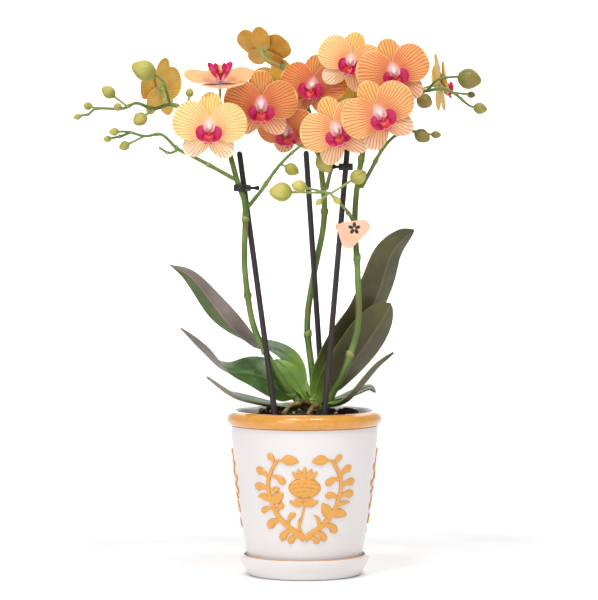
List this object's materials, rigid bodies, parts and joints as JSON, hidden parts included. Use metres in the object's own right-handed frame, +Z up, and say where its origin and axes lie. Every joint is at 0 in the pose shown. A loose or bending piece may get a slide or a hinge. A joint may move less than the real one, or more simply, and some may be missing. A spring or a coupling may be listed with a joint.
{
  "type": "potted orchid",
  "caption": "Moth orchid with branching flower spikes, strap leaves and support stakes, in a nursery pot inside a glazed cover pot that stands in a saucer.",
  "frame": {"origin": "middle of the saucer's flat underside, on the pot's axis, on the surface the object stands on", "axes": "+Z up along the pot's axis; -Y is the front, where most blossoms face; +X to the viewer's right"},
  "size_m": [0.2968, 0.1149, 0.3949],
  "materials": {
    "glazed_pot": "white satin glaze with orange relief",
    "nursery_plastic": "thin dark moulded plastic",
    "bark": "loose bark chips and moss",
    "crown": "plant tissue, matte",
    "leaf": "plant tissue, waxy gloss",
    "stem": "plant tissue, satin",
    "petal": "soft petal with red veins",
    "lip": "waxy petal",
    "black_plastic": "ribbed plastic",
    "tag_plastic": "plain printed card look"
  },
  "bodies": {
    "root": {"blossom_01": "petal", "blossom_02": "petal", "blossom_03": "petal", "blossom_04": "petal", "blossom_05": "petal", "blossom_06": "petal", "blossom_07": "petal", "blossom_08": "petal", "blossom_09": "petal", "blossom_10": "petal", "blossom_11": "petal", "blossom_12": "petal", "blossom_13": "petal", "blossom_14": "petal", "branch_left_inner": "stem", "branch_left_lower": "stem", "branch_left_upper": "stem", "branch_middle": "stem", "branch_right_inner": "stem", "branch_right_lower": "stem", "branch_right_upper": "stem", "clip_left": "black_plastic", "clip_right": "black_plastic", "cover_pot": "glazed_pot", "crown_and_roots": "crown", "label_tag": "tag_plastic", "leaf_left_back": "leaf", "leaf_left_inner": "leaf", "leaf_left_low": "leaf", "leaf_left_middle": "leaf", "leaf_right_back": "leaf", "leaf_right_front": "leaf", "leaf_right_low": "leaf", "leaf_right_small": "leaf", "lip_01": "lip", "lip_02": "lip", "lip_03": "lip", "lip_04": "lip", "lip_05": "lip", "lip_06": "lip", "lip_07": "lip", "lip_08": "lip", "lip_09": "lip", "lip_10": "lip", "lip_11": "lip", "lip_12": "lip", "lip_13": "lip", "lip_14": "lip", "nursery_pot": "nursery_plastic", "potting_bark": "bark", "saucer": "glazed_pot", "spike_left": "stem", "spike_middle": "stem", "spike_right": "stem", "stake_left": "black_plastic", "stake_middle": "black_plastic", "stake_right": "black_plastic"}
  },
  "joints": []
}
